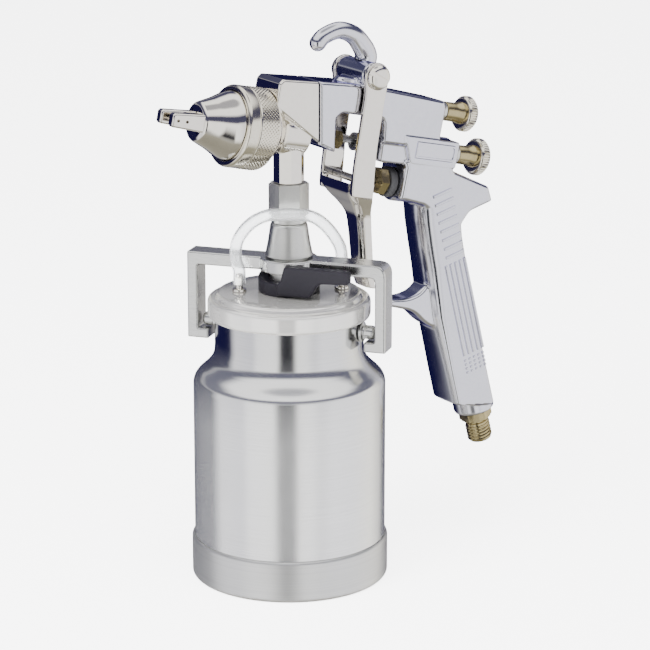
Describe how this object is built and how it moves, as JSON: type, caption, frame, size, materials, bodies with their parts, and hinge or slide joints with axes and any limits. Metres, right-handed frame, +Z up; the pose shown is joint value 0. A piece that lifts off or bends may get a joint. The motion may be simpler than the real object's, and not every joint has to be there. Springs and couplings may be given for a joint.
{
  "type": "siphon-feed spray gun",
  "caption": "Suction-feed paint spray gun with pistol grip, trigger, hanging hook, rear adjusting knobs and an under-slung metal cup clamped by a yoke and cam lever",
  "frame": {"origin": "centre of the cup's flat bottom, which is the face it stands on", "axes": "+Z up along the cup's axis; the nozzle points toward -X, pitched 12.5 degrees nose-up; the XZ plane is the gun's plane of symmetry; +X is the grip side"},
  "size_m": [0.1973, 0.1004, 0.283],
  "materials": {
    "cup_shell": "satin brushed",
    "base_band": "brushed",
    "cup_stud_left": "satin",
    "cup_stud_right": "satin",
    "cup_lid": "mirror",
    "lid_gasket": "matte",
    "lid_post": "cast, satin",
    "siphon_tube": "satin",
    "post_washer": "satin",
    "cup_nut": "matte",
    "yoke": "satin",
    "cam_lever": "black",
    "vent_barb_left": "bright",
    "vent_barb_right": "bright",
    "vent_tube": "frosted clear",
    "fluid_inlet_stem": "bright nickel",
    "gun_head": "bright nickel",
    "head_gasket": "matte",
    "fluid_nozzle": "machined",
    "air_cap": "bright nickel",
    "retaining_ring": "bright nickel, knurled",
    "fluid_needle": "ground",
    "needle_packing_nut": "machined",
    "needle_spring": "drawn wire",
    "gun_body": "polished",
    "hanging_hook": "polished",
    "fluid_knob": "nickel plated, knurled",
    "fluid_knob_bushing": "satin",
    "pattern_knob": "nickel plated, knurled",
    "pattern_valve_bushing": "satin",
    "pattern_valve_stem": "ground",
    "air_valve_cage": "machined",
    "air_valve_seal": "matte",
    "air_valve_stem": "ground",
    "air_valve_spring": "drawn wire",
    "air_inlet_nipple": "machined",
    "trigger": "bright nickel",
    "needle_push_bar": "ground",
    "valve_push_bar": "ground",
    "trigger_stud": "bright nickel",
    "trigger_screw": "bright nickel"
  },
  "bodies": {
    "gun": {"cup_shell": "cup_shell", "base_band": "base_band", "cup_stud_left": "cup_stud_left", "cup_stud_right": "cup_stud_right", "cup_lid": "cup_lid", "lid_gasket": "lid_gasket", "lid_post": "lid_post", "siphon_tube": "siphon_tube", "post_washer": "post_washer", "vent_barb_left": "vent_barb_left", "vent_barb_right": "vent_barb_right", "vent_tube": "vent_tube", "fluid_inlet_stem": "fluid_inlet_stem", "gun_head": "gun_head", "head_gasket": "head_gasket", "fluid_nozzle": "fluid_nozzle", "needle_packing_nut": "needle_packing_nut", "needle_spring": "needle_spring", "gun_body": "gun_body", "hanging_hook": "hanging_hook", "fluid_knob_bushing": "fluid_knob_bushing", "pattern_valve_bushing": "pattern_valve_bushing", "air_valve_cage": "air_valve_cage", "air_valve_seal": "air_valve_seal", "air_valve_spring": "air_valve_spring", "air_inlet_nipple": "air_inlet_nipple", "trigger_stud": "trigger_stud", "trigger_screw": "trigger_screw"},
    "trigger": {"trigger": "trigger", "needle_push_bar": "needle_push_bar", "valve_push_bar": "valve_push_bar"},
    "needle": {"fluid_needle": "fluid_needle"},
    "air_valve": {"air_valve_stem": "air_valve_stem"},
    "fluid_knob": {"fluid_knob": "fluid_knob"},
    "pattern_knob": {"pattern_knob": "pattern_knob", "pattern_valve_stem": "pattern_valve_stem"},
    "air_cap": {"air_cap": "air_cap"},
    "retaining_ring": {"retaining_ring": "retaining_ring"},
    "cup_nut": {"cup_nut": "cup_nut"},
    "cam_lever": {"cam_lever": "cam_lever"},
    "yoke": {"yoke": "yoke"}
  },
  "joints": [
    {"name": "trigger_pull", "type": "hinge", "parent": "gun", "child": "trigger", "pos_m": [0.04266, 0, 0.25599], "axis": [0, -1, 0], "range_deg": [0, 10], "stiffness_Nm_per_rad": 1.2, "springref_deg": -8.59},
    {"name": "needle_slide", "type": "slide", "parent": "gun", "child": "needle", "axis": [0.9763, 0, -0.2164], "range_m": [0, 0.00606]},
    {"name": "air_valve_slide", "type": "slide", "parent": "gun", "child": "air_valve", "axis": [0.9763, 0, -0.2164], "range_m": [0, 0.00925]},
    {"name": "fluid_knob_turn", "type": "hinge", "parent": "gun", "child": "fluid_knob", "pos_m": [0.10739, 0, 0.20609], "axis": [0.9763, 0, -0.2164], "range_deg": [0, 720]},
    {"name": "pattern_knob_turn", "type": "hinge", "parent": "gun", "child": "pattern_knob", "pos_m": [0.10224, 0, 0.22905], "axis": [0.9763, 0, -0.2164], "range_deg": [0, 720]},
    {"name": "air_cap_turn", "type": "hinge", "parent": "gun", "child": "air_cap", "pos_m": [-0.04393, 0, 0.23964], "axis": [0.9763, 0, -0.2164], "range_deg": [-90, 90]},
    {"name": "retaining_ring_turn", "type": "hinge", "parent": "gun", "child": "retaining_ring", "pos_m": [-0.02636, 0, 0.23574], "axis": [0.9763, 0, -0.2164], "continuous": true},
    {"name": "cup_nut_turn", "type": "hinge", "parent": "gun", "child": "cup_nut", "pos_m": [0, 0, 0.196], "axis": [0, 0, 1], "continuous": true},
    {"name": "cam_lever_turn", "type": "hinge", "parent": "gun", "child": "cam_lever", "pos_m": [0, 0, 0.155], "axis": [0, 0, -1], "range_deg": [0, 60]},
    {"name": "yoke_drop", "type": "slide", "parent": "gun", "child": "yoke", "axis": [0, 0, -1], "range_m": [0, 0.00202]}
  ],
  "couplings": [
    {"joint": "needle_slide", "follows": "trigger_pull", "m_per_rad": 0.0347},
    {"joint": "air_valve_slide", "follows": "trigger_pull", "m_per_rad": 0.053},
    {"joint": "yoke_drop", "follows": "cam_lever_turn", "m_per_rad": 0.00191}
  ]
}
